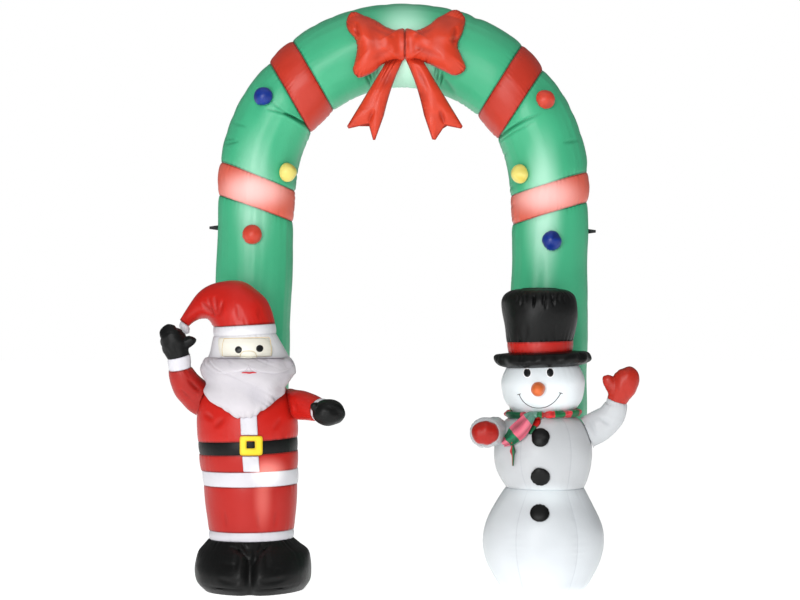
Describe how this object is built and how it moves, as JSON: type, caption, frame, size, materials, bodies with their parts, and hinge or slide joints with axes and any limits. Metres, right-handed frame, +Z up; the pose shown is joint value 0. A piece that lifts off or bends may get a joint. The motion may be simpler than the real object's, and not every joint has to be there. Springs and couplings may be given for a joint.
{
  "type": "inflatable arch",
  "caption": "Walk-through inflatable festive arch of light nylon cloth, with a bearded figure before one leg and a snowman before the other",
  "frame": {"origin": "on the ground, under the middle of the bounding box", "axes": "+Z up, front towards -Y, +X to the right seen from the front"},
  "size_m": [1.9246, 0.743, 2.4081],
  "materials": {
    "green_nylon": "satin",
    "red_nylon": "satin",
    "white_nylon": "satin",
    "black_nylon": "satin",
    "cream_nylon": "satin",
    "yellow_nylon": "satin",
    "blue_nylon": "satin",
    "orange_nylon": "satin",
    "snow_nylon": "satin",
    "scarf_nylon": "satin",
    "black_webbing": "matte"
  },
  "bodies": {
    "root": {"arch_leg_left": "green_nylon", "arch_side_left": "green_nylon", "arch_top": "green_nylon", "arch_side_right": "green_nylon", "arch_leg_right": "green_nylon", "arch_band_left_low": "red_nylon", "arch_band_left_high": "red_nylon", "arch_band_right_high": "red_nylon", "arch_band_right_low": "red_nylon", "ball_red_left": "red_nylon", "ball_red_right": "red_nylon", "bow_lobe_left": "red_nylon", "bow_lobe_right": "red_nylon", "bow_tail_left": "red_nylon", "bow_tail_right": "red_nylon", "elder_skirt": "red_nylon", "elder_tunic": "red_nylon", "elder_chest": "red_nylon", "elder_sleeve_raised": "red_nylon", "elder_sleeve_side": "red_nylon", "elder_hat": "red_nylon", "snow_hat_band": "red_nylon", "snow_mitten_raised": "red_nylon", "snow_mitten_front": "red_nylon", "snow_scarf_neck": "red_nylon", "elder_hem_trim": "white_nylon", "elder_waist_trim": "white_nylon", "elder_head": "white_nylon", "elder_hat_brim": "white_nylon", "elder_hat_tip": "white_nylon", "elder_beard": "white_nylon", "elder_placket_upper": "white_nylon", "elder_placket_lower": "white_nylon", "elder_cuff_raised": "white_nylon", "elder_cuff_side": "white_nylon", "elder_boots": "black_nylon", "elder_belt": "black_nylon", "elder_mitten_raised": "black_nylon", "elder_mitten_side": "black_nylon", "snow_hat_brim": "black_nylon", "snow_hat_top": "black_nylon", "snow_button_top": "black_nylon", "snow_button_middle": "black_nylon", "snow_button_low": "black_nylon", "elder_face": "cream_nylon", "elder_buckle": "yellow_nylon", "ball_yellow_left": "yellow_nylon", "ball_yellow_right": "yellow_nylon", "ball_blue_left": "blue_nylon", "ball_blue_right": "blue_nylon", "snow_nose": "orange_nylon", "snow_base": "snow_nylon", "snow_body": "snow_nylon", "snow_head": "snow_nylon", "snow_arm_raised": "snow_nylon", "snow_arm_front": "snow_nylon", "snow_scarf_tail_long": "scarf_nylon", "snow_scarf_tail_short": "scarf_nylon", "tether_tab_left": "black_webbing", "tether_tab_right": "black_webbing"}
  },
  "joints": []
}
